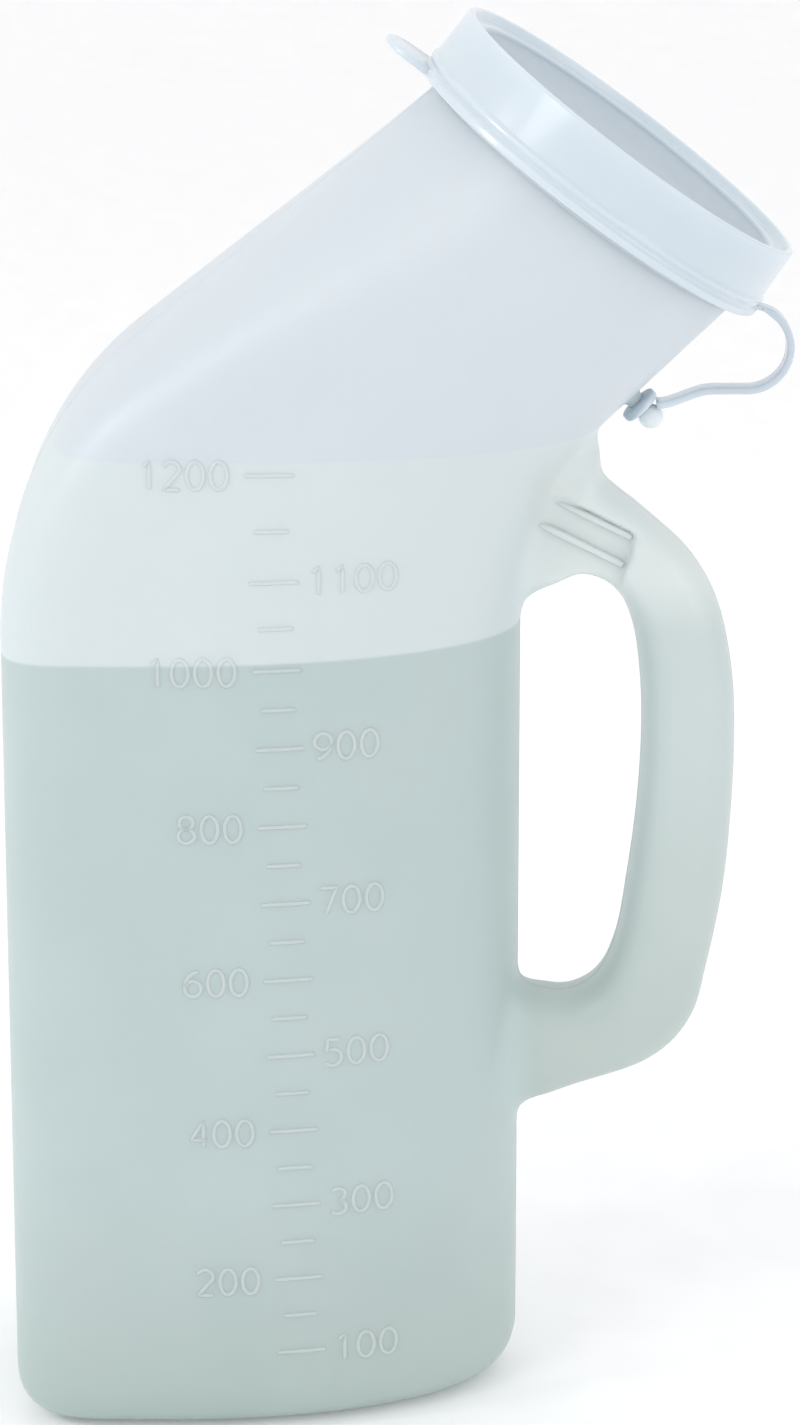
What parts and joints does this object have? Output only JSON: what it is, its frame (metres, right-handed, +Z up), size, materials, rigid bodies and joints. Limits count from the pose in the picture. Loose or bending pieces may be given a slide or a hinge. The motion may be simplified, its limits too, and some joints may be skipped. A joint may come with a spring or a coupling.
{
  "type": "urine bottle",
  "caption": "Angled-neck urine bottle with a side handle, a raised volume scale, and a push-on lid held by a strap to a stud on the neck.",
  "frame": {"origin": "middle of the base, on the surface that the bottle stands on", "axes": "+Z up, +X towards the handle and the mouth, -Y towards the side that carries the scale"},
  "size_m": [0.1586, 0.08, 0.2864],
  "materials": {
    "milky_hdpe": "translucent milky polyethylene, soft satin",
    "lid_ldpe": "milky white polyethylene, satin with a soft gloss"
  },
  "bodies": {
    "bottle": {"bottle_body": "milky_hdpe", "neck_finish": "milky_hdpe", "handle": "milky_hdpe", "handle_web": "milky_hdpe", "scale_ticks": "milky_hdpe", "scale_numerals": "milky_hdpe", "strap_stud": "milky_hdpe", "strap_eye": "lid_ldpe", "lid_strap": "lid_ldpe"},
    "lid": {"lid_cap": "lid_ldpe", "pull_tab": "lid_ldpe"}
  },
  "joints": [
    {"name": "lid_swing", "type": "hinge", "parent": "bottle", "child": "lid", "pos_m": [0.10029, 0, 0.22906], "axis": [0, 1, 0], "range_deg": [0, 100]}
  ]
}
